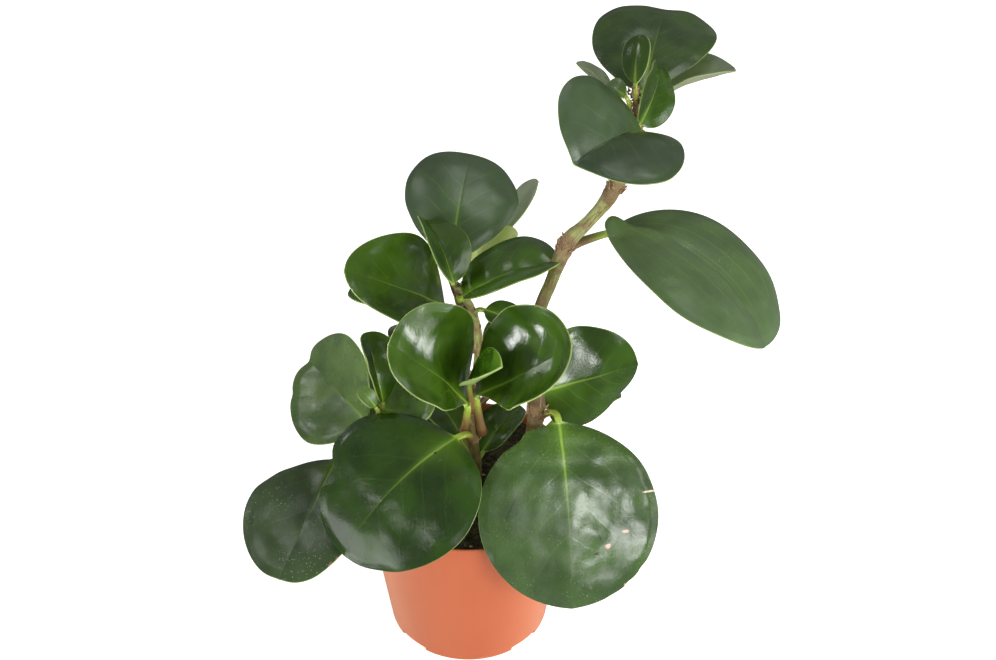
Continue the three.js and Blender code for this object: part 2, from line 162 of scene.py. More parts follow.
LEAVES = {
    # head of the right stem
    "right_head_rear_leaf": plan(
        LARGE, (87, 36, 322), (92, 52, 331), (78, 3, -4), (74, 64), (16, -19, 6, 14), 0.31, notch=3,
        neck=0.1, skew=0.06, finish="dark"),
    "right_head_front_leaf": plan(
        LARGE, (87, 35, 312), (89, 12, 334), (-129, 13, -21), (59, 76), (44, -18, 33, -12), 0.26,
        neck=-0.04, skew=0.08, curve=0.25, finish="dull"),
    "right_head_young_leaf": plan(
        YOUNG, (87, 33, 331), (86, 28, 353), (83, 34, -25), (26, 16), (19, 12, 3, 2), 0.12,
        finish="glossy"),
    "right_head_cupped_leaf": plan(
        SMALL, (88, 34, 326), (88.6, 22, 332), (73, 17, 59), (40, 26), (29, 6, 16, 0), -0.1, neck=0,
        skew=-0.05, finish="deep"),
    "right_head_bud_leaf": plan(
        YOUNG, (85, 33, 323), (81, 28, 345), (122, -9, -35), (16, 12), (23, 16, 5, -1), 0.07,
        finish="fresh"),
    "right_head_right_leaf": plan(
        SMALL, (86, 34, 308), (93, 62, 316), (17, 13, -22), (52, 47), (24, 26, 7, 7), 0.03,
        neck=0.04, skew=0.05, curve=0.2, finish="silvery"),
    "right_head_left_leaf": plan(
        SMALL, (84, 33, 304), (78, 57, 319), (154, 40, 30), (30, 26), (23, 17, 7, 5), 0.08,
        curve=0.25, finish="silvery"),
    "drooping_right_leaf": plan(
        LARGE, (54, 17.5, 256), (76.3, 25, 259.3), (-43, -10, -17), (115, 93), (82, -42, 18, -36),
        0.43, neck=0.3, skew=-0.04, curve=0.3, stalk=2.4, finish="veined",
        lobes=((7, -5.5, 8, 4.5, 8.2), (26, -5.5, 18, 5, 3.6))),
    # head of the rear stem
    "rear_head_top_leaf": plan(
        LARGE, (-3, 18, 218), (-8, 42, 227), (81, 21, 2), (73, 66), (73, -42, 4, 17), 0.2, notch=2,
        neck=0.4, skew=0.02, finish="dull"),
    "rear_head_left_leaf": plan(
        LARGE, (-1, 18, 208), (-12, 26, 207), (-153, 39, -31), (74, 64), (14, 34, 4, -7), -0.25,
        neck=0.24, skew=0.04),
    "rear_head_young_leaf": plan(
        YOUNG, (-5, 15, 232), (-7, 7, 240), (108, 4, 23), (51, 32), (28, 22, 22, 7), -0.03,
        neck=0.16, skew=0.02, finish="glossy"),
    "rear_head_right_leaf": plan(
        LARGE, (-3, 18, 223), (-1, 8, 229), (9, 19, -12), (55, 52), (34, -21, 24, -1), neck=0.06,
        skew=0.03),
    "rear_head_back_leaf": plan(
        SMALL, (3, 19, 206), (6, 77, 196), (24, 52, -24), (59, 36), (11, 3, 0, 2), 0.06, neck=0.05,
        finish="silvery"),
    "rear_head_inner_leaf": plan(
        SMALL, (1, 18, 212), (-2, 54, 202), (0, 48, -4), (45, 28), (28, 24, 7, 1), 0.08,
        finish="pale"),
    # head of the centre stem
    "centre_left_leaf": plan(
        LARGE, (-2, -9.5, 146), (0.7, -17.4, 174.5), (-151, 54, -37), (78, 75), (20, 60, 1, -20),
        0.12, neck=-0.2, skew=-0.03, slim=1, curve=0.1, stalk=2.3, finish="cupped"),
    "centre_right_leaf": plan(
        LARGE, (8.2, -8.7, 146.5), (5.2, -11.8, 176.2), (-34, 48, 42), (88.5, 76), (-17, 74, -1, 4),
        0.16, neck=-0.08, skew=-0.04, slim=-1, curve=0.05, stalk=2.3, finish="cupped"),
    "centre_young_leaf": plan(
        YOUNG, (3, -10.3, 164), (1.4, -20.6, 194), (-54, 48, 28), (44, 27), (0, 20, 24, 9), 0.07,
        neck=0.06, skew=0.01, curve=0, stalk=1.7),
    # large leaves low at the front and on the right
    "front_left_leaf": plan(
        LARGE, (2.6, -9, 141), (-6, -24, 156), (-150, -38, -18), (96, 92), (80, -11, 1, -22), -0.22,
        neck=-0.07, skew=0.01, finish="spotted", nicks=((-1, 1.2, 0.15, 0.26),)),
    "front_right_leaf": plan(
        LARGE, (38, -3, 150), (50, -18, 162), (-83, -54, -4), (104, 102), (40, -10, -6, 10), -0.02,
        neck=0.09, skew=0.04, finish="worn",
        nicks=((1, 0.88, 0.05, 0.02), (1, 0.68, 0.05, 0.035), (1, 0.45, 0.06, 0.04),
               (-1, 2.82, 0.1, -0.15), (-1, 2.58, 0.1, 0.1))),
    "right_middle_leaf": plan(
        LARGE, (38, 0, 168), (41.5, 1, 168), (20, 3, 79), (56, 62), (5, 9, -14, 20), -0.1,
        neck=-0.5, finish="glazed"),
    # head of the left stem
    "left_head_outer_leaf": plan(
        LARGE, (-50, 9, 126), (-55, 0, 146), (121, -7, -50), (73, 67), (-2, 12, 15, 6), -0.25,
        notch=3, neck=0.32, skew=-0.03, curve=0.15, finish="fresh", nicks=((1, 0.88, 0.12, 0.06),)),
    "left_head_folded_leaf": plan(
        SMALL, (-49, 7, 141), (-47, 12, 150), (116, 57, 30), (40, 29), (8, 41, 12, -11), 0.18,
        neck=0.1, skew=-0.08),
    "left_head_right_leaf": plan(
        SMALL, (-44, 8, 133), (-48, 24, 133), (-48, 30, 40), (48, 40), (13, 37, -4, -41), 0.04,
        neck=0, skew=0.05, finish="fresh"),
    "left_head_young_leaf": plan(
        YOUNG, (-48, 5, 144), (-50, -3, 160), (150, 40, -20), (14, 10), (36, 35, 6, -6), 0.08,
        finish="fresh"),
    "low_left_leaf": plan(
        LARGE, (-32, 8, 112), (-74, 10, 107), (-111, -13, 6), (84, 70), (6, 3, 7, -27), -0.12,
        notch=2, neck=0.16, skew=-0.03, finish="dusty"),
    # small leaves low on the stems
    "rear_low_left_leaf": plan(
        SMALL, (5, 22, 178), (-16, 30, 201), (178, 12, 0), (50, 28), (25, 15, 8, 0)),
    "rear_low_right_leaf": plan(
        SMALL, (6, 20, 198), (10, 15, 214), (-15, -20, 10), (22, 20), (25, 15, 8, 0)),
    "centre_low_right_leaf": plan(
        SMALL, (5, -4, 118), (9, 2, 122), (50, 20, -15), (34, 30), (25, 15, 8, 0)),
    "centre_low_left_leaf": plan(
        SMALL, (5, -5, 124), (-4, 0, 136), (125, 15, 10), (36, 30), (25, 15, 8, 0)),
    # leaves at the back
    "back_left_leaf": plan(
        LARGE, (3, 26, 138), (-14, 44, 150), (112, -5, -8), (46, 44), (50, 15, 6, 6), 0.05),
    "back_right_leaf": plan(
        LARGE, (4, 26, 132), (20, 42, 144), (68, -8, 8), (48, 46), (50, 15, 6, -6), 0.05, notch=1),
    "back_low_right_leaf": plan(
        SMALL, (32, 3, 120), (50, 18, 132), (38, 0, -5), (42, 38), (45, 15, 6, 0), 0.05),
    "back_low_left_leaf": plan(
        SMALL, (-29, 9, 111), (-44, 26, 122), (128, 5, 5), (46, 40), (40, 15, 6, 0), 0.05),
}


# Node trees
def srgb(red, green, blue):
    """A colour as it looks on screen, 0 to 255, as the linear colour that shaders take."""
    parts = [value / 255 for value in (red, green, blue)]
    linear = [p / 12.92 if p <= 0.04045 else ((p + 0.055) / 1.055) ** 2.4 for p in parts]
    return (*linear, 1.0)


class Value:
    """A node's output. Sums on it add Math nodes."""

    def __init__(self, owner, socket):
        self.owner = owner
        self.socket = socket

    def math(self, operation, *others):
        return self.owner.math(operation, self, *others)

    def __add__(self, other):
        return self.math("ADD", other)

    def __sub__(self, other):
        return self.math("SUBTRACT", other)

    def __rsub__(self, other):
        return self.owner.math("SUBTRACT", other, self)

    def __mul__(self, other):
        return self.math("MULTIPLY", other)

    def __truediv__(self, other):
        return self.math("DIVIDE", other)

    def __rtruediv__(self, other):
        return self.owner.math("DIVIDE", other, self)

    def __abs__(self):
        return self.math("ABSOLUTE")

    __radd__ = __add__
    __rmul__ = __mul__


class Tree:
    """A node tree under construction: a finish or a recipe, which sets self.tree."""

    def join(self, socket, value):
        """Links or sets a socket. Colours are given as they look on screen, 0 to 255."""
        if isinstance(value, Value):
            self.tree.links.new(value.socket, socket)
        elif socket.type == "RGBA":
            socket.default_value = srgb(*value)
        else:
            socket.default_value = value

    def node(self, kind, sockets=None, out=0, **settings):
        """A new node of any type: its settings are set first, then its sockets. Gives the output
        asked for, unless the node has none."""
        node = self.tree.nodes.new(kind)
        for name, value in settings.items():
            setattr(node, name, value)
        for name, value in (sockets or {}).items():
            self.join(node.inputs[name], value)
        return Value(self, node.outputs[out]) if node.outputs else None

    def math(self, operation, *values):
        return self.node("ShaderNodeMath", dict(enumerate(values)), operation=operation)

    def vector(self, operation, *values, out=0):
        return self.node("ShaderNodeVectorMath", dict(enumerate(values)), out, operation=operation)


class Finish(Tree):
    """A material under construction, with its shader."""

    def __init__(self, name, **constants):
        self.material = bpy.data.materials.new(name)
        self.material.use_nodes = True
        self.tree = self.material.node_tree
        self.tree.nodes.clear()
        self.shader = self.node("ShaderNodeBsdfPrincipled")
        self.node("ShaderNodeOutputMaterial", {"Surface": self.shader})
        self.surface(**constants)

    def surface(self, **sockets):
        """Feeds the shader's sockets and gives the material."""
        inputs = self.shader.socket.node.inputs
        for name, value in sockets.items():
            self.join(inputs[name.replace("_", " ")], value)
        return self.material

    def mix(self, mask, first, second):
        sockets = {"Factor": mask, 6: first, 7: second}
        return self.node("ShaderNodeMix", sockets, 2, data_type="RGBA")

    def step(self, value, low, high):
        """0 below low, 1 above high and smooth between; low may be the larger one."""
        sockets = {"Value": value, "From Min": low, "From Max": high}
        return self.node("ShaderNodeMapRange", sockets, interpolation_type="SMOOTHSTEP")

    def noise(self, place, scale, detail=2.0, roughness=0.5):
        sockets = {"Vector": place, "Scale": scale, "Detail": detail, "Roughness": roughness}
        return self.node("ShaderNodeTexNoise", sockets)

    def cells(self, place, scale, feature="F1"):
        sockets = {"Vector": place, "Scale": scale}
        return self.node("ShaderNodeTexVoronoi", sockets, "Distance", feature=feature)

    def attribute(self, name, out="Vector"):
        return self.node("ShaderNodeAttribute", out=out, attribute_name=name)

    def parts(self, vector):
        first = self.node("ShaderNodeSeparateXYZ", {0: vector})
        return [Value(self, socket) for socket in first.socket.node.outputs]

    def place(self):
        return self.node("ShaderNodeTexCoord", out="Object")

    def line(self, flat, start, end, fine):
        """1 on a thin wavering line between two flat places, 0 away from it."""
        way = (end[0] - start[0], end[1] - start[1], 0.0)
        length = math.hypot(*way)
        way = tuple(part / length for part in way)
        from_start = self.vector("SUBTRACT", flat, (*start, 0.0))
        walked = self.vector("DOT_PRODUCT", from_start, way, out="Value") / length
        beside = self.vector("DOT_PRODUCT", from_start, (-way[1], way[0], 0.0), out="Value")
        beside = abs(beside + (fine - 0.5) * 2.0)
        inside = self.step(walked, -0.05, 0.15) * self.step(walked, 1.05, 0.85)
        return self.step(beside, 0.5, 0.15) * inside

    def bump(self, height, depth, strength=1.0, below=None):
        """A normal from a height of 0 to 1, depth metres deep, on top of the one below."""
        sockets = {"Strength": strength, "Distance": depth, "Height": height}
        if below:
            sockets["Normal"] = below
        return self.node("ShaderNodeBump", sockets)


# Finishes
class LeafFinish(Finish):
    """A leaf's material under construction. Flat places are in millimetres, with each leaf's own
    seed. along is how far along the blade (0 base, 1 tip, below 0 the stalk), side how far from
    the midrib (0 to 1), under is 1 on the underside and edge the millimetres to the edge."""

    def __init__(self, name):
        super().__init__(name, IOR=1.56)
        self.flat = self.attribute("blade_flat")
        self.along, across, self.under = self.parts(self.attribute("blade_marks"))
        self.side = abs(across)
        self.edge = self.attribute("blade_edge", "Fac")
        self.broad = self.noise(self.flat, 0.045, 2.0)
        self.fine = self.noise(self.flat, 0.6, 3.0)
        self.from_rib = abs(self.parts(self.flat)[1]) / (1.17 - self.along)
        rib = self.step(self.from_rib, 1.0, 0.25) * self.step(self.along, 1.0, 0.4)
        self.rib = rib * (self.step(self.along, 0.5, 0.1) * 0.6 + 0.4)

    def vein_lines(self, veins):
        """1 on the side veins, which arch towards the edge or run beside the midrib."""
        if veins == "arching":
            phase = (self.along - self.side * 0.42 + self.broad * 0.1) * 5.5
            width = 0.07
        else:
            phase = self.side * 4.2 + self.broad * 0.25
            width = 0.09
        lines = self.step(abs(phase.math("FRACT") - 0.5), width, 0.0)
        lines = lines * self.step(self.side, 1.0, 0.3)
        return lines * self.step(self.along, 0.0, 0.12) * self.step(self.along, 0.98, 0.6)

    def upper_face(self, deep, fresh, lines, vein_strength):
        mix, step, along = self.mix, self.step, self.along
        green = mix(step(self.broad, 0.35, 0.68), deep, fresh)
        green = mix(step(along + self.side * 0.45, 0.42, -0.05) * 0.45, green, (96, 134, 34))
        green = mix(lines * vein_strength, green, (118, 150, 62))
        glow = step(self.from_rib, 4.5, 0.5) * step(along, 0.6, 0.05)
        green = mix(glow * 0.4, green, (88, 128, 30))
        return mix(self.rib * 0.62, green, (150, 176, 72))

    def veiled_in_bloom_and_sheen(self, green, bloom_and_sheen):
        """Under a grey veil, which is thinner near the blade's base: partly a waxy coat, partly
        painted sheen.
        """
        veil = self.step(self.noise(self.flat, 0.03, 3.0), 0.3, 0.7)
        bloom_and_sheen = (self.step(self.along, 0.1, 0.45) * 0.75 + 0.25) * bloom_and_sheen
        return self.mix(veil * bloom_and_sheen + bloom_and_sheen * 0.35, green, (108, 126, 104))

    def dust_specks(self):
        """1 on specks of dust, of which most lie in patches."""
        patch = self.step(self.noise(self.flat, 0.05, 1.0), 0.42, 0.62)
        speck = self.step(self.cells(self.flat, 0.8), 0.3, 0.14) * self.step(self.fine, 0.48, 0.6)
        return speck * (patch * 0.9 + 0.1)

    def scarred_and_crease_shaded(self, green, scars, shaded_creases):
        """A scar is a place, a size and a colour. A crease runs from one place to another, and the
        darker line along it is painted shade.
        """
        for place, size, colour in scars:
            away = self.vector("SUBTRACT", self.flat, (*place, 0.0))
            away = self.vector("MULTIPLY", away, (1 / size[0], 1 / size[1], 0.0))
            mark = self.vector("LENGTH", away, out="Value") + (self.fine - 0.5) * 1.2
            green = self.mix(self.step(mark, 1.1, 0.7), green, colour)
        # painted shade: darker lines along the blade's creases
        for start, end in shaded_creases:
            crease_shade = self.line(self.flat, start, end, self.fine)
            green = self.mix(crease_shade * 0.7, green, (36, 52, 18))
        return green

    def underside(self, below, lines):
        pale = self.mix(self.step(self.broad, 0.3, 0.7), *below)
        return self.mix(self.rib * 0.5 + lines * 0.2, pale, (186, 200, 132))

    def stalk(self):
        """Brown where it leaves the stem, green above, and speckled."""
        speckle = self.step(self.noise(self.flat, 2.4, 2.0) - self.along * 0.2, 0.56, 0.64)
        stalk = self.mix(self.step(self.along, -0.8, -0.3), (118, 104, 62), (150, 176, 64))
        return self.mix(speckle * 0.55, stalk, (122, 66, 48))

    def relief(self, lines, dents, curl):
        """The normal: dents and a curl bend the highlights, and a fine grain breaks them up."""
        swell = self.noise(self.flat, 0.055, 1.0) * dents - self.step(self.edge, 6.0, 0.0) * 0.9
        if curl:
            way = self.vector("DOT_PRODUCT", self.flat, (0.94, 0.34, 0.0), out="Value")
            start, end, height = curl
            swell = swell + self.step(way, end, start) * height
        grain = self.noise(self.flat, 0.7, 4.0, 0.65)
        crease = self.step(self.cells(self.flat, 0.42, "DISTANCE_TO_EDGE"), 0.0, 0.12)
        skin = grain * 0.8 + crease * 0.12 - lines * 0.25
        return self.bump(skin, 0.0004, 0.3, self.bump(swell, MM))


def leaf_finish(name, deep, fresh, veins="arching", vein_strength=0.1, bloom_and_sheen=0.0, dust=0.0,
                gloss=0.2, dents=3.0, curl=None, scars=(), shaded_creases=(),
                below=((142, 168, 92), (164, 186, 112))):
    """deep and fresh are the greens of the upper face and below those of the underside. gloss is
    the roughness. curl is where along the blade a bend starts and ends, and its height."""
    leaf = LeafFinish(name)
    mix, step, along = leaf.mix, leaf.step, leaf.along
    lines = leaf.vein_lines(veins)
    green = leaf.upper_face(deep, fresh, lines, vein_strength)
    # a grey veil painted into the colour: partly a waxy coat, partly painted sheen
    if bloom_and_sheen:
        green = leaf.veiled_in_bloom_and_sheen(green, bloom_and_sheen)
    gloss_lost = 0.0
    if dust:
        specks = leaf.dust_specks()
        green = mix(specks * dust, green, (196, 200, 184))
        gloss_lost = specks * 0.4
    green = leaf.scarred_and_crease_shaded(green, scars, shaded_creases)
    colour = mix(step(leaf.under, 0.4, 0.6), green, leaf.underside(below, lines))
    margin = step(leaf.edge + (leaf.fine - 0.5) * 0.3, 0.45, 0.15) * step(along, 0.0, 0.06)
    colour = mix(margin * 0.55, colour, (150, 170, 88))
    colour = mix(step(along, 0.02, -0.03), colour, leaf.stalk())
    dull = step(leaf.noise(leaf.flat, 0.12, 3.0), 0.35, 0.75) * 0.1
    return leaf.surface(Base_Color=colour, Roughness=leaf.under * 0.25 + dull + gloss_lost + gloss,
                        Normal=leaf.relief(lines, dents, curl))


def stem_finish():
    """Thick smooth stem: olive and brown below, yellow-green and pink above, brown at its nodes."""
    finish = Finish("thick_stem", IOR=1.42)
    mix, step, noise = finish.mix, finish.step, finish.noise
    flat = finish.attribute("stem_flat")
    height, knuckle, _ = finish.parts(finish.attribute("stem_marks"))
    streak = noise(finish.vector("MULTIPLY", flat, (0.14, 1.0, 1.0)), 0.9, 5.0, 0.7)
    blotch = noise(flat, 0.16, 3.0, 0.6)
    fine = noise(flat, 2.2, 3.0)
    olive = mix(step(blotch, 0.4, 0.6), (94, 98, 48), (88, 68, 46))
    lime = mix(step(blotch, 0.42, 0.62), (158, 166, 100), (140, 118, 84))
    colour = mix(step(height, 215, 285), olive, lime)
    colour = mix(step(streak, 0.5, 0.6) * 0.75, colour, (108, 70, 50))
    colour = mix(step(streak, 0.44, 0.34) * 0.5, colour, (196, 192, 134))
    colour = mix(step(fine, 0.58, 0.7) * 0.6, colour, (84, 56, 40))
    bark = mix(step(fine, 0.4, 0.6), (104, 78, 56), (160, 132, 98))
    crust = step(knuckle + (blotch - 0.5) * 0.9 + (fine - 0.5) * 0.5, 0.5, 0.8)
    relief = fine * 0.35 - streak * 0.7 + crust * 0.4
    return finish.surface(Base_Color=mix(crust * 0.85, colour, bark),
                          Roughness=crust * 0.3 + streak * 0.15 + 0.34,
                          Normal=finish.bump(relief, 0.0004, 0.7))


def scale_finish():
    finish = Finish("papery_scale", Roughness=0.75)
    tone = finish.noise(finish.place(), 900.0, 2.0)
    colour = finish.mix(finish.step(tone, 0.35, 0.65), (112, 78, 56), (176, 146, 108))
    return finish.surface(Base_Color=colour, Normal=finish.bump(tone, 0.0002))


def pot_finish():
    """Thin moulded plastic: satin outside, faint flow marks, fine scuffs near the foot, a painted
    shadow of the leaves below the rim and a painted sheen at its edges.
    """
    finish = Finish("terracotta_plastic", IOR=1.5)
    mix, step, noise = finish.mix, finish.step, finish.noise
    place = finish.place()
    height = finish.parts(place)[2] / MM
    flow = noise(finish.vector("MULTIPLY", place, (1.0, 1.0, 0.35)), 22.0, 3.0)
    fine = noise(place, 900.0, 2.0)
    colour = mix(step(flow, 0.3, 0.7), (188, 98, 59), (180, 90, 52))
    # painted shadow of the leaves: darker towards the rim
    colour = mix(step(height, 86, 104) * 0.35, colour, (178, 86, 49))
    scuff = noise(finish.vector("MULTIPLY", place, (1.0, 1.0, 6.0)), 60.0, 4.0, 0.7)
    worn = step(scuff, 0.6, 0.72) * step(height, 16, 2)
    colour = mix(worn * 0.35, colour, (204, 140, 112))
    # painted sheen: paler where the wall turns away from view
    painted_edge_sheen = finish.node("ShaderNodeLayerWeight", {"Blend": 0.5}, "Facing")
    colour = mix(step(painted_edge_sheen, 0.4, 0.9) * 0.8, colour, (218, 144, 110))
    return finish.surface(Base_Color=colour, Roughness=flow * 0.12 + worn * 0.2 + 0.34,
                          Normal=finish.bump(fine * 0.5 + flow, 0.00012, 0.5))


def soil_finish(name, dark, light):
    finish = Finish(name)
    place = finish.place()
    clod = finish.noise(place, 420.0, 4.0, 0.65)
    tint = finish.noise(place, 70.0, 2.0)
    colour = finish.mix(finish.step(clod + (tint - 0.5) * 0.6, 0.35, 0.7), dark, light)
    return finish.surface(Base_Color=colour, Roughness=clod * 0.2 + 0.72,
                          Normal=finish.bump(clod, 0.0006))


def floor_finish():
    """White studio table, softly lit from below as well."""
    finish = Finish("studio_floor", Emission_Strength=0.9)
    cloud = finish.noise(finish.place(), 2.0, 2.0)
    white = finish.mix(cloud, (244, 244, 243), (250, 250, 250))
    return finish.surface(Base_Color=white, Emission_Color=white, Roughness=cloud * 0.05 + 0.7)


# Meshes
def unit(vector):
    return vector / np.linalg.norm(vector, axis=-1, keepdims=True)


def stacked(count, *columns):
    """count rows of the columns given; a single number fills its column."""
    return np.column_stack([np.broadcast_to(column, count) for column in columns])


def bare_mesh(name, places, edges=(), faces=()):
    """A mesh from places in millimetres."""
    mesh = bpy.data.meshes.new(name)
    mesh.from_pydata((np.array(places) * MM).tolist(), edges, faces)
    return mesh


def add_object(name, data):
    thing = bpy.data.objects.new(name, data)
    bpy.context.scene.collection.objects.link(thing)
    return thing


def ring_faces(rings, count):
    """Four-cornered faces between rings that have count corners each."""
    faces = []
    for first in range(0, (rings - 1) * count, count):
        for i in range(count):
            a, b = first + i, first + (i + 1) % count
            faces.append((a, b, b + count, a + count))
    return faces


def closed_loft(name, rings, material):
    """A closed smooth piece from rings of places in millimetres."""
    count = len(rings[0])
    last = (len(rings) - 1) * count
    faces = ring_faces(len(rings), count)
    faces += [tuple(range(count - 1, -1, -1)), tuple(range(last, last + count))]
    mesh = bare_mesh(name, np.concatenate(rings), faces=faces)
    mesh.polygons.foreach_set("use_smooth", [True] * len(mesh.polygons))
    mesh.materials.append(material)
    mesh.update()
    face_outwards(mesh)
    return add_object(name, mesh)


def face_outwards(mesh):
    """Turns a closed mesh that is inside out, as its negative volume shows."""
    mesh.calc_loop_triangles()
    corners = np.empty(len(mesh.loop_triangles) * 3, int)
    mesh.loop_triangles.foreach_get("vertices", corners)
    places = np.empty(len(mesh.vertices) * 3)
    mesh.vertices.foreach_get("co", places)
    a, b, c = places.reshape(-1, 3)[corners.reshape(-1, 3)].transpose(1, 0, 2)
    if np.einsum("ij,ij->", a, np.cross(b, c)) < 0:
        mesh.flip_normals()


def write_attribute(mesh, name, values):
    """Values for a mesh's corners: one number each, or three."""
    kind, field = ("FLOAT", "value") if values.ndim == 1 else ("FLOAT_VECTOR", "vector")
    mesh.attributes.new(name, kind, "POINT").data.foreach_set(field, values.ravel())


# Leaf blades
def ripple(s, t, seed, size, height):
    """Gentle unevenness of a blade, millimetres: a few crossing waves."""
    draw = np.random.default_rng(seed)
    waves = 9
    total = np.zeros_like(s)
    for _ in range(waves):
        way = draw.uniform(0, math.tau)
        length = size * draw.uniform(0.6, 1.7)
        phase = draw.uniform(0, math.tau)
        total += np.sin((s * math.cos(way) + t * math.sin(way)) * math.tau / length + phase)
    return height * total / math.sqrt(waves)


def blade_axes(leaf):
    """Along the midrib, to the blade's left and out of its upper face."""
    heading, pitch, roll = (math.radians(angle) for angle in leaf["turn"])
    along = np.array([math.cos(pitch) * math.cos(heading),
                      math.cos(pitch) * math.sin(heading), math.sin(pitch)])
    level = np.array([-math.sin(heading), math.cos(heading), 0.0])
    left = level * math.cos(roll) + np.cross(along, level) * math.sin(roll)
    return along, left, np.cross(along, left)


def blade_place(leaf, s, t):
    """Places on the blade's middle surface, s millimetres from its base and t to the left.
    arch bends it along the midrib, cup and fold lift its halves, twist turns its tip."""
    along, left, out = blade_axes(leaf)
    length, width = leaf["size"]
    arch, cup, fold, twist = (math.radians(bend) for bend in leaf["bends"])
    arch, cup = arch or STRAIGHT, cup or STRAIGHT
    share = s / length
    lean = arch * (0.5 - share)
    reach = length / arch * (math.sin(arch / 2) - np.sin(lean))
    rise = length / arch * (np.cos(lean) - math.cos(arch / 2))
    curl = cup / (width / 2)
    across = np.abs(t)
    sideways = (np.sin(fold + curl * across) - math.sin(fold)) / curl * np.sign(t)
    lift = (math.cos(fold) - np.cos(fold + curl * across)) / curl
    side_phase = np.where(t > 0, 1.0, 3.4)
    lift = lift + leaf["wave"] * np.sin(9 * share + side_phase) * (2 * across / width) ** 2
    turn = twist * (share - 0.5)
    sideways, lift = (sideways * np.cos(turn) - lift * np.sin(turn),
                      sideways * np.sin(turn) + lift * np.cos(turn))
    return (np.array(leaf["at"], float)
            + (reach - lift * np.sin(lean))[..., None] * along
            + sideways[..., None] * left
            + (rise + lift * np.cos(lean))[..., None] * out)


def blade_normal(leaf, s, t):
    here = blade_place(leaf, s, t)
    ahead = blade_place(leaf, s + 0.5, t) - here
    aside = blade_place(leaf, s, t + 0.01) - here
    return unit(np.cross(ahead, aside))


def blade_outline(leaf, theta):
    """Half widths of the blade and where its middle and its edge lie along it, at angles that
    run from pi at its base to 0 at its tip. nicks dent the edge: side, angle, width, depth."""
    length, width = leaf["size"]
    neck = 1 - leaf["neck"] * np.exp(-((math.pi - theta) / 0.7) ** 2)
    span = width / 2 * np.sin(theta) * (1 + leaf["egg"] * np.cos(theta)) * neck
    slim = abs(leaf["slim"]) * np.exp(-((math.pi - theta) / 1.5) ** 2)
    halves = []
    for side in (1, -1):
        half = span * (1 + side * leaf["skew"])
        if side * leaf["slim"] > 0:
            half = half * (1 - slim)
        for nick_side, angle, nick_width, depth in leaf["nicks"]:
            if nick_side == side:
                half = half * (1 - depth * np.exp(-((theta - angle) / nick_width) ** 2))
        halves.append(half)
    share = 0.5 + 0.5 * np.cos(theta)
    edge = length * share - leaf["notch"] * np.exp(-(theta / 0.25) ** 2)
    return *halves, (length - leaf["notch"]) * share, edge


def rim_columns(columns):
    """The ring of a blade's cross-section: places across (-1 to 1), the side of a rim point and
    the angle from the upper face. It goes over the upper face to the left and back below."""
    x = np.linspace(-1, 1, columns)
    core = x * (0.4 + 0.6 * x * x)
    rim = np.radians([45, 90, 135])
    edge, flat = np.ones(3), np.zeros(columns)
    inner = np.concatenate([core, edge, core[::-1], -edge])
    side = np.concatenate([flat, edge, flat, -edge])
    angle = np.concatenate([flat, rim, np.full(columns, math.pi), rim[::-1]])
    return inner, side, angle


def stalk_curve(leaf):
    """Start, bend point and end of a stalk, which arrives in line with the midrib."""
    along, _, out = blade_axes(leaf)
    lean = math.radians(leaf["bends"][0]) / 2
    start = np.array(leaf["root"], float)
    end = blade_place(leaf, np.zeros(1), np.zeros(1))[0]
    arrival = along * math.cos(lean) + out * math.sin(lean)
    return start, end - arrival * leaf["curve"] * np.linalg.norm(end - start), end


def stalk_rings(leaf, seed, count):
    """Rings of a stalk: places, flat places, marks and how far the blade's edge is."""
    left_axis = blade_axes(leaf)[1]
    start, bend_point, end = stalk_curve(leaf)
    stalk_length = np.linalg.norm(end - start)
    turn = math.pi * (1 - (np.arange(count) + 0.5) * 2 / count)
    for share in np.linspace(0, STALK_END, leaf["stalk_rows"]):
        back = 1 - share
        centre = back ** 2 * start + 2 * share * back * bend_point + share ** 2 * end
        along = unit(2 * back * (bend_point - start) + 2 * share * (end - bend_point))
        left = unit(left_axis - along * left_axis.dot(along))
        up = np.cross(along, left)
        sheath = SHEATH * math.exp(-(share * stalk_length / SHEATH_LENGTH) ** 2)
        radius = leaf["stalk"] * (1.1 - 0.2 * share + sheath)
        groove = 1 - 0.3 * share * np.maximum(np.sin(turn), 0) ** 4
        ring = np.cos(turn)[:, None] * left + (np.sin(turn) * groove)[:, None] * up
        yield (centre + radius * ring, stacked(count, -back * stalk_length, turn * radius, seed),
               stacked(count, -back, 0, 0), np.full(count, FAR_FROM_EDGE))


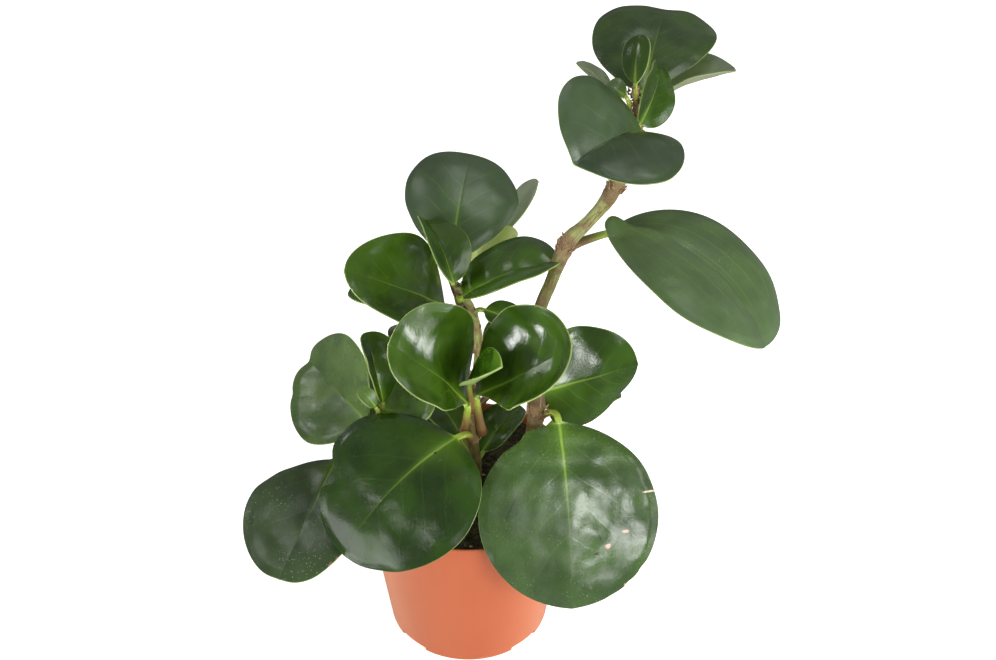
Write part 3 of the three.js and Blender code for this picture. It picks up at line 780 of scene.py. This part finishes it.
def blade_rings(leaf, seed, inner, side, angle):
    """Rings of a blade from base to tip, with the same values as a stalk's. A groove runs over
    the midrib and a keel under it. Lobes swell the blade: s, t, length, width, height."""
    count = len(inner)
    length = leaf["size"][0]
    face = np.cos(angle)
    radius = BLADE_EDGE / 2
    thickness = BLADE_EDGE + (BLADE_MIDDLE - BLADE_EDGE) * (1 - inner ** 2)
    outline = blade_outline(leaf, np.linspace(math.pi - 0.14, 0.05, leaf["rows"]))
    wide_left, wide_right, _, edge_at = outline
    shore = np.concatenate([np.column_stack([edge_at, wide_left]),
                            np.column_stack([edge_at, -wide_right])[::-1]])
    for left, right, middle, edge in zip(*outline):
        rim = min(radius, 0.3 * min(left, right))
        t = inner * (np.where(inner > 0, left, right) - rim) + side * rim * np.sin(angle)
        s = middle + (edge - middle) * inner ** 2
        share = s / length
        rib = np.clip(1.05 - share, 0.1, 1)
        groove = -GROOVE_DEPTH * rib * np.exp(-(t / (0.5 + 0.9 * rib)) ** 2)
        keel = -KEEL_DEPTH * rib * np.exp(-(t / (0.6 + 1.3 * rib)) ** 2)
        off = face * thickness / 2 + np.where(face > 0, groove, keel) * np.abs(face)
        calm = 1 - np.exp(-(s / CALM_LENGTH) ** 2)
        off = off + ripple(s, t, seed, length * 0.33, leaf["uneven"]) * calm
        for lobe_s, lobe_t, long, wide, height in leaf["lobes"]:
            rise = np.exp(-((s - lobe_s) / long) ** 2 - ((t - lobe_t) / wide) ** 2)
            off = off + height * rise * (1 - np.exp(-(s / 2) ** 2))
        gaps = np.hypot(s[:, None] - shore[:, 0], t[:, None] - shore[:, 1])
        yield (blade_place(leaf, s, t) + off[:, None] * blade_normal(leaf, s, t),
               stacked(count, s, t, seed), stacked(count, share, inner, (1 - face) / 2),
               gaps.min(axis=1) + 0.12 * radius)


def make_leaf(name, leaf, seed, material):
    """A blade and its stalk, one closed piece."""
    section = rim_columns(leaf["columns"])
    rows = [*stalk_rings(leaf, seed, len(section[0])), *blade_rings(leaf, seed, *section)]
    places, *values = zip(*rows)
    piece = closed_loft(name, places, material)
    for attribute, value in zip(("blade_flat", "blade_marks", "blade_edge"), values):
        write_attribute(piece.data, attribute, np.concatenate(value))
    return piece


# Geometry Nodes
class Recipe(Tree):
    """A geometry node tree under construction. sizes are its named inputs."""

    def __init__(self, name, **sizes):
        self.tree = bpy.data.node_groups.new(name, "GeometryNodeTree")
        panel = self.tree.interface
        for way in ("OUTPUT", "INPUT"):
            panel.new_socket("Geometry", in_out=way, socket_type="NodeSocketGeometry")
        self.identifiers = {}
        for size, kind in sizes.items():
            socket = panel.new_socket(size, in_out="INPUT", socket_type="NodeSocket" + kind)
            self.identifiers[size] = socket.identifier
        self.base = self.node("NodeGroupInput", out="Geometry")
        self.sizes = {size: self.node("NodeGroupInput", out=size) for size in sizes}

    def geometry(self, kind, **sockets):
        """A geometry node's output. In a socket's name, an underscore stands for a space."""
        sockets = {name.replace("_", " "): value for name, value in sockets.items()}
        return self.node("GeometryNode" + kind, sockets)

    def noise(self, scale, detail, out=0):
        return self.node("ShaderNodeTexNoise", {"Scale": scale, "Detail": detail}, out)

    def scaled(self, vector, factor):
        return self.node("ShaderNodeVectorMath", {0: vector, "Scale": factor}, operation="SCALE")

    def random(self, low, high):
        sockets = {"Min": low, "Max": high, "Seed": self.sizes["Seed"]}
        return self.node("FunctionNodeRandomValue", sockets, data_type="FLOAT_VECTOR")

    def store(self, geometry, name, value, kind):
        sockets = {"Geometry": geometry, "Name": name, "Value": value}
        return self.node("GeometryNodeStoreNamedAttribute", sockets, data_type=kind)

    def read(self, name, kind="FLOAT"):
        return self.node("GeometryNodeInputNamedAttribute", {"Name": name}, data_type=kind)

    def end(self, geometry, smooth):
        """Every tree ends in Realize Instances and Set Material."""
        geometry = self.geometry("RealizeInstances", Geometry=geometry)
        geometry = self.geometry("SetShadeSmooth", Geometry=geometry, Shade_Smooth=smooth)
        geometry = self.geometry("SetMaterial", Geometry=geometry,
                                 Material=self.sizes["Material"])
        self.node("NodeGroupOutput", {"Geometry": geometry})
        return self


def grow(name, recipe, base, **sizes):
    """Runs a recipe on a base mesh and keeps the result as a plain mesh piece."""
    carrier = add_object(name + "_base", base)
    modifier = carrier.modifiers.new(name, "NODES")
    modifier.node_group = recipe.tree
    for size, value in sizes.items():
        modifier[recipe.identifiers[size]] = value
    bpy.context.view_layer.update()
    evaluated = carrier.evaluated_get(bpy.context.evaluated_depsgraph_get())
    mesh = bpy.data.meshes.new_from_object(evaluated)
    mesh.name = name
    carrier.modifiers.clear()
    bpy.data.objects.remove(carrier)
    return add_object(name, mesh)


def scatter_recipe():
    """Small lumps strewn over a surface, each turned and stretched its own way."""
    recipe = Recipe("strewn_lumps", Density="Float", Smallest="Vector", Largest="Vector",
                    Rounding="Int", Jaggedness="Float", Seed="Int", Material="Material")
    sizes = recipe.sizes
    points = recipe.geometry("DistributePointsOnFaces", Mesh=recipe.base,
                             Density=sizes["Density"], Seed=sizes["Seed"])
    lump = recipe.geometry("MeshIcoSphere", Radius=0.5, Subdivisions=sizes["Rounding"])
    stretch = recipe.random(sizes["Smallest"], sizes["Largest"])
    turn = recipe.random((0.0,) * 3, (math.tau,) * 3)
    rotation = recipe.node("FunctionNodeEulerToRotation", {"Euler": turn})
    lumps = recipe.geometry("InstanceOnPoints", Points=points, Instance=lump,
                            Rotation=rotation, Scale=stretch)
    lumps = recipe.geometry("RealizeInstances", Geometry=lumps)
    way = recipe.vector("SUBTRACT", recipe.noise(650.0, 1.0, "Color"), (0.5,) * 3)
    offset = recipe.scaled(way, sizes["Jaggedness"])
    return recipe.end(recipe.geometry("SetPosition", Geometry=lumps, Offset=offset), False)


def stem_recipe():
    """A round stem along a line of points, each with its own radius, with a ridged skin."""
    recipe = Recipe("ridged_stem", Sides="Int", Ridges="Float", Material="Material")
    line = recipe.geometry("MeshToCurve", Mesh=recipe.base)
    ring = recipe.geometry("CurvePrimitiveCircle", Resolution=recipe.sizes["Sides"], Radius=1.0)
    round_share = recipe.node("GeometryNodeSplineParameter", out="Factor")
    profile = recipe.store(ring, "stem_round", round_share, "FLOAT")
    tube = recipe.geometry("CurveToMesh", Curve=line, Profile_Curve=profile,
                           Scale=recipe.read("stem_radius"), Fill_Caps=True)
    girth = recipe.read("stem_round") * STEM_GIRTH
    flat = recipe.node("ShaderNodeCombineXYZ", {0: recipe.read("stem_length"), 1: girth})
    tube = recipe.store(tube, "stem_flat", flat, "FLOAT_VECTOR")
    bulk = recipe.read("stem_knuckle") * 1.8 + 0.5
    height = (recipe.noise(260.0, 3.0) - 0.5) * bulk * recipe.sizes["Ridges"]
    offset = recipe.scaled(recipe.geometry("InputNormal"), height)
    return recipe.end(recipe.geometry("SetPosition", Geometry=tube, Offset=offset), True)


def scale_recipe():
    """Small pointed scales standing out from given points, each along its facing."""
    recipe = Recipe("papery_scales", Length="Float", Seed="Int", Material="Material")
    cone = recipe.geometry("MeshCone", Vertices=8, Side_Segments=3, Radius_Top=0.05,
                           Radius_Bottom=0.5, Depth=1.0)
    tilt = recipe.random((-0.35,) * 3, (0.35,) * 3)
    facing = recipe.vector("ADD", recipe.read("facing", "FLOAT_VECTOR"), tilt)
    rotation = recipe.node("FunctionNodeAlignRotationToVector", {"Vector": facing}, axis="Z")
    size = recipe.random((0.35, 0.2, 0.5), (0.8, 0.4, 1.3))
    scales = recipe.geometry("InstanceOnPoints", Instance=cone, Rotation=rotation,
                             Points=recipe.geometry("MeshToPoints", Mesh=recipe.base),
                             Scale=recipe.scaled(size, recipe.sizes["Length"]))
    return recipe.end(scales, True)


# Pot and soil
def pot_radius(height):
    return POT_FOOT_RADIUS + (POT_TOP_RADIUS - POT_FOOT_RADIUS) * height / POT_HEIGHT


def turned_rings(profile, sides):
    turn = np.arange(sides) * math.tau / sides
    return [stacked(sides, radius * np.cos(turn), radius * np.sin(turn), height)
            for radius, height in profile]


def make_pot(material):
    """Plain tapered pot with a rounded lip, a shallow foot bead and four flat drain notches."""
    wall = [1.4, 2.2, NOTCH_HEIGHT - 0.15, NOTCH_HEIGHT + 0.15, 4.2, 5.5, 8,
            *np.linspace(14, POT_HEIGHT - 2, 16)]
    under = [(0.5, 0.0), (25, 0.0)]
    outside = [(pot_radius(0) - 1.4, 0.0), (pot_radius(0) - 0.5, 0.15), (pot_radius(0), 0.7)]
    outside += [(pot_radius(height), height) for height in wall]
    lip = [(POT_TOP_RADIUS - inwards, POT_HEIGHT - below) for inwards, below in (
        (0.35, 0.6), (0.6, 0.1), (1.0, 0), (1.5, 0.15), (POT_WALL, 0.6))]
    inside = [(pot_radius(height) - POT_WALL, height)
              for height in (POT_HEIGHT - 3, 80, 50, 20, POT_FLOOR + 1)]
    floor = [(pot_radius(POT_FLOOR) - POT_WALL - 1, POT_FLOOR), (20, POT_FLOOR), (0.5, POT_FLOOR)]
    rings = turned_rings(under + outside + lip + inside + floor, POT_SIDES)
    for ring in rings:
        if ring[0, 2] < NOTCH_HEIGHT:
            cut_notches(ring)
    return closed_loft("plastic_pot", rings, material)


def cut_notches(ring):
    """Flattens a ring of the pot's foot where the drain notches are."""
    for turn in np.radians([45, 135, 225, 315]):
        out = np.array([math.cos(turn), math.sin(turn)])
        aside = np.array([-math.sin(turn), math.cos(turn)])
        far = ring[:, :2] @ out
        cut = (np.abs(ring[:, :2] @ aside) < NOTCH_WIDTH / 2) & (far > NOTCH_FACE)
        ring[cut, :2] -= (far[cut] - NOTCH_FACE)[:, None] * out


def soil_rings(radii, sides):
    """Rings of the soil's top: slightly crowned and lumpy, lower along the wall."""
    rings = turned_rings([(radius, SOIL_LEVEL) for radius in radii], sides)
    for ring in rings:
        x, y = ring[:, 0], ring[:, 1]
        crown = np.interp(np.hypot(x, y), [0, 18, 38, 53, 58], [0.6, 0.2, 1.0, 0.0, -1.2])
        ring[:, 2] += crown + ripple(x, y, 7, 9, 0.5) + ripple(x, y, 8, 4, 0.25)
    return rings


def make_soil(material):
    bottom = POT_FLOOR + 0.4
    wall = pot_radius(SOIL_LEVEL) - POT_WALL - 0.35
    rings = turned_rings([(1, bottom), (pot_radius(5) - POT_WALL - 0.4, bottom)], SOIL_SIDES)
    rings += soil_rings([wall, *np.linspace(wall - 0.8, 0.3, 60)], SOIL_SIDES)
    return closed_loft("potting_soil", rings, material)


def soil_surface():
    """The soil's top alone, as the ground that crumbs lie on."""
    sides = 64
    rings = soil_rings(np.linspace(56.5, 0.5, 24), sides)
    return bare_mesh("soil_top", np.concatenate(rings), faces=ring_faces(len(rings), sides))


# Stems
def smooth_way(points, count):
    """Evenly spaced places on a smooth curve through the points, with the centripetal rule."""
    points = np.array(points, float)
    points = np.vstack([2 * points[0] - points[1], points, 2 * points[-1] - points[-2]])
    share = np.linspace(0, 1, 60, endpoint=False)[:, None]
    dense = []
    for i in range(1, len(points) - 2):
        p0, p1, p2, p3 = points[i - 1:i + 3]
        d0, d1, d2 = (np.linalg.norm(b - a) ** 0.5 for a, b in ((p0, p1), (p1, p2), (p2, p3)))
        m1 = ((p1 - p0) / d0 - (p2 - p0) / (d0 + d1) + (p2 - p1) / d1) * d1
        m2 = ((p2 - p1) / d1 - (p3 - p1) / (d1 + d2) + (p3 - p2) / d2) * d1
        dense.append(p1 + m1 * share + (3 * (p2 - p1) - 2 * m1 - m2) * share ** 2
                     + (2 * (p1 - p2) + m1 + m2) * share ** 3)
    dense = np.vstack(dense + [points[-2:-1]])
    walked = np.concatenate([[0], np.cumsum(np.linalg.norm(np.diff(dense, axis=0), axis=1))])
    wanted = np.linspace(0, walked[-1], count)
    return np.column_stack([np.interp(wanted, walked, dense[:, k]) for k in range(3)]), wanted


def stem_line(stem):
    """A stem's places from its root in the soil, and the share of its length at each."""
    way = [(*stem["way"][0][:2], ROOT_LEVEL), *stem["way"]]
    _, ends = smooth_way(way, 2)
    places, walked = smooth_way(way, int(ends[-1] / STEM_STEP))
    return places, walked / walked[-1], walked[-1]


def swelling(stem, share, width=0.045):
    return sum(np.exp(-((share - node) / width) ** 2) for node in stem["nodes"])


def stem_radius(stem, share):
    return stem["radius"] * (1.05 - 0.25 * share + 0.35 * swelling(stem, share))


def make_stem(name, stem, recipe, material):
    """A ridged stem with a swelling at each node; its tip is rounded off."""
    places, share, length = stem_line(stem)
    to_tip = length * (1 - share)
    radius = stem_radius(stem, share) * np.sqrt(np.clip(to_tip / 1.5 + 0.05, 0, 1))
    line = bare_mesh(name + "_line", places, [(i, i + 1) for i in range(len(places) - 1)])
    write_attribute(line, "stem_radius", radius * MM)
    write_attribute(line, "stem_length", length * share)
    write_attribute(line, "stem_knuckle", swelling(stem, share, 0.03))
    piece = grow(name, recipe, line, Sides=40, Ridges=0.9 * MM, Material=material)
    knuckle = np.empty(len(piece.data.vertices))
    piece.data.attributes["stem_knuckle"].data.foreach_get("value", knuckle)
    heights = np.array([vertex.co.z / MM for vertex in piece.data.vertices]) + stem["ahead"]
    write_attribute(piece.data, "stem_marks", stacked(len(knuckle), heights, knuckle, 0))
    face_outwards(piece.data)
    return piece


def make_scales(recipe, material):
    """Dry scales and old stalk stubs round every stem's nodes and on the crown of the plant."""
    draw = np.random.default_rng(5)
    places, facings = [], []
    for stem in STEMS.values():
        line, share, length = stem_line(stem)
        for node in np.repeat(stem["nodes"], NODE_SCALES):
            near = np.clip(node + draw.normal(0, 2.0) / length, 0.02, 0.99)
            k = min(max(int(np.searchsorted(share, near)), 1), len(line) - 2)
            along = unit(line[k + 1] - line[k - 1])
            out = draw.normal(size=3)
            out = unit(out - along * out.dot(along))
            if line[k][2] >= SOIL_LEVEL + 3:
                places.append(line[k] + out * stem_radius(stem, near) * 0.97)
                facings.append(out * 0.55 + along * 0.85)
    crown = LEAVES["right_head_young_leaf"]
    root, tip = np.array(crown["root"], float), np.array(crown["at"], float)
    for _ in range(CROWN_SCALES):
        out = unit(draw.normal(size=3))
        places.append(root + (tip - root) * draw.uniform(-0.1, 0.8) + out * draw.uniform(0.6, 3.4))
        facings.append(out * 0.4 + (0, 0, 1.0))
    points = bare_mesh("scale_points", places)
    write_attribute(points, "facing", np.array(facings))
    return grow("node_scales", recipe, points, Length=3.2 * MM, Seed=3, Material=material)


# Studio

# A lamp: name, azimuth and elevation as seen from the plant (0 is behind it and 90 its right),
# distance, size and power; one wears a grid, which leaves its light a spread of 22 degrees. The
# two cards lie low beside the pot and light it from below.
LAMPS = (
    ("soft_window", 150, 21, 1.1, (1.2, 0.65), 3.2),
    ("bright_softbox", 140, 16, 1.05, (0.4, 0.4), 6.0),
    ("low_softbox", 157, -3, 1.05, (0.16, 0.12), 0.5),
    ("left_softbox", -124, 20, 0.36, (0.18, 0.14), 0.05, 22),
    ("rear_softbox", -59, 31, 1.0, (0.22, 0.2), 0.9),
    ("right_softbox", 89, 10, 1.0, (0.22, 0.22), 0.9),
    ("top_softbox", 30, 70, 1.1, (0.6, 0.6), 3.0),
    ("left_card", -112, -32, 0.36, (0.22, 0.24), 0.4),
    ("right_card", 100, -24, 0.4, (0.2, 0.14), 0.2),
)
LIT_POINT = Vector((0.024, -0.01, 0.216))
AIR_LIGHT = 0.26
FLOOR_REACH = 4000.0  # mm


def make_camera():
    lens = bpy.data.cameras.new("camera")
    lens.sensor_width = SENSOR_WIDTH
    lens.lens = FOCAL_LENGTH * SENSOR_WIDTH / IMAGE_WIDTH
    lens.clip_start = 0.05
    camera = add_object("camera", lens)
    back = VIEW_DISTANCE * math.cos(VIEW_PITCH)
    up = VIEW_DISTANCE * math.sin(VIEW_PITCH)
    camera.location = (VIEW_TARGET[0], VIEW_TARGET[1] - back, VIEW_TARGET[2] + up)
    camera.rotation_euler = (math.pi / 2 - VIEW_PITCH, 0, 0)
    bpy.context.scene.camera = camera


def make_lamp(name, azimuth, elevation, distance, size, power, spread=180):
    light = bpy.data.lights.new(name, "AREA")
    light.shape = "RECTANGLE"
    light.size, light.size_y = size
    light.energy = power
    light.spread = math.radians(spread)
    azimuth, elevation = math.radians(azimuth), math.radians(elevation)
    way = Vector((math.sin(azimuth) * math.cos(elevation),
                  math.cos(azimuth) * math.cos(elevation), math.sin(elevation)))
    box = add_object(name, light)
    box.location = LIT_POINT + distance * way
    box.rotation_euler = (-way).to_track_quat("-Z", "Y").to_euler()
    box.visible_camera = False


def make_studio():
    corners = [(x * FLOOR_REACH, y * FLOOR_REACH, 0) for x, y in (
        (-1, -1), (1, -1), (1, 1), (-1, 1))]
    floor = add_object("studio_floor", bare_mesh("studio_floor", corners, faces=[(0, 1, 2, 3)]))
    floor.data.materials.append(floor_finish())
    floor.visible_glossy = False
    floor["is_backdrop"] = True
    world = bpy.data.worlds.new("studio_air")
    world.use_nodes = True
    air = world.node_tree.nodes["Background"].inputs
    air["Color"].default_value = (1.0, 1.0, 1.0, 1.0)
    air["Strength"].default_value = AIR_LIGHT
    bpy.context.scene.world = world
    for lamp in LAMPS:
        make_lamp(*lamp)


# Assembly

# colours of marks on the leaves, as they look on screen
SCAR = (206, 158, 132)
TORN = (228, 200, 176)
BROWN = (150, 104, 80)
DARK_SPOT = (22, 24, 12)
# The grey veil of a finish is partly a waxy coat and partly painted sheen; the dark lines along its
# creases are painted shade.
LEAF_FINISHES = {
    "fresh": dict(deep=(70, 98, 44), fresh=(92, 120, 56), gloss=0.25, dents=1.6),
    "glossy": dict(deep=(40, 65, 10), fresh=(58, 88, 16), gloss=0.14),
    "deep": dict(deep=(34, 58, 2), fresh=(48, 78, 5), gloss=0.13, dents=2.6),
    "glazed": dict(deep=(34, 58, 2), fresh=(48, 78, 5), gloss=0.13, dents=1.8,
                   curl=(33, 70, -10.0)),
    "cupped": dict(deep=(44, 70, 10), fresh=(64, 96, 20), gloss=0.1, curl=(20, 85, 22.0)),
    "spotted": dict(deep=(28, 53, 3), fresh=(42, 73, 8), gloss=0.2, vein_strength=0.06, dents=1.5,
                    scars=[((14.6, 0.6), (0.9, 0.6), DARK_SPOT)]),
    "dark": dict(deep=(40, 64, 12), fresh=(56, 84, 20), bloom_and_sheen=0.05, gloss=0.22, dust=0.08,
                 dents=1.5),
    "dull": dict(deep=(44, 66, 27), fresh=(55, 80, 36), bloom_and_sheen=0.15, gloss=0.34,
                 vein_strength=0.16, dents=1.5),
    "veined": dict(deep=(66, 92, 40), fresh=(80, 108, 52), veins="parallel", vein_strength=0.3,
                   bloom_and_sheen=0.17, gloss=0.4, dust=0.3, dents=2.0),
    "worn": dict(deep=(42, 68, 17), fresh=(60, 88, 28), bloom_and_sheen=0.12, dust=0.3, gloss=0.23,
                 dents=3.2,
                 scars=[((63.2, 32.2), (0.9, 2.2), SCAR), ((70, 21.3), (1.4, 1.6), SCAR),
                        ((73.5, 14.8), (1.0, 1.7), DARK_SPOT), ((42.7, 49.0), (0.6, 5.0), TORN),
                        ((93.5, 30.0), (0.8, 0.8), SCAR)],
                 # painted shade: darker lines along the blade's creases
                 shaded_creases=[((49, 9), (69, 19)), ((39, 21), (57, 30)), ((27, 7), (43, 12)),
                         ((37, -27), (50, -34))]),
    "dusty": dict(deep=(41, 63, 19), fresh=(56, 82, 28), bloom_and_sheen=0.11, dust=0.9, gloss=0.3,
                  dents=2.0,
                  scars=[((58.5, 30), (2.0, 1.0), BROWN), ((62.5, 27.6), (1.4, 1.0), BROWN),
                         ((67, 25), (2.2, 1.0), BROWN)]),
    "young": dict(deep=(62, 98, 16), fresh=(84, 124, 28), gloss=0.16),
    "pale": dict(deep=(184, 196, 112), fresh=(210, 218, 146), gloss=0.25),
    "silvery": dict(deep=(110, 122, 96), fresh=(136, 148, 118), gloss=0.35,
                    below=((104, 114, 86), (122, 130, 100))),
}


def dress(piece, slot, *nodes):
    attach(piece, BODY)
    if nodes:
        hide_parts(*nodes)


make_camera()
make_studio()
bpy.context.scene.view_settings.view_transform = "Standard"

dress(make_pot(pot_finish()), "pot_plastic", "pot")
crumb = soil_finish("dark_soil", (24, 20, 15), (70, 58, 44))
dress(make_soil(crumb), "soil", "soil")
# What lies on the soil: its name and finish, how many to a square metre, the smallest and the
# largest in millimetres, how round they are, and their seed.
LITTER = (
    ("soil_crumbs", crumb, 160000.0, (0.8, 0.8, 0.8), (2.6, 2.6, 2.6), 1, 1),
    ("bark_chips", soil_finish("bark", (66, 48, 32), (132, 100, 66)), 16000.0,
     (2.5, 1.0, 0.6), (7, 2.6, 1.4), 1, 2),
    ("perlite_grains", soil_finish("perlite", (150, 138, 112), (214, 206, 186)), 6500.0,
     (1.4, 1.4, 1.4), (3.2, 3.2, 3.2), 2, 4),
)
strewn = scatter_recipe()
for name, finish, density, smallest, largest, rounding, seed in LITTER:
    litter = grow(name, strewn, soil_surface(), Density=density, Rounding=rounding, Seed=seed,
                  Smallest=[side * MM for side in smallest], Material=finish,
                  Largest=[side * MM for side in largest], Jaggedness=0.8 * MM)
    dress(litter, "soil")

stem_skin = stem_finish()
ridged = stem_recipe()
for stem_name, stem in STEMS.items():
    dress(make_stem(stem_name + "_skin", stem, ridged, stem_skin), "stem", stem_name)
dress(make_scales(scale_recipe(), scale_finish()), "stem")

finishes = {look: leaf_finish(look + "_leaf", **given) for look, given in LEAF_FINISHES.items()}
for leaf_number, (leaf_name, leaf) in enumerate(LEAVES.items()):
    blade = make_leaf(leaf_name + "_blade", leaf, leaf_number, finishes[leaf["finish"]])
    dress(blade, "young_leaf" if leaf["finish"] in ("young", "pale") else "leaf", leaf_name)

boxes = {"cad": cad_box, "visual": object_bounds()}
{name: [list(corner) for corner in box] for name, box in boxes.items()}
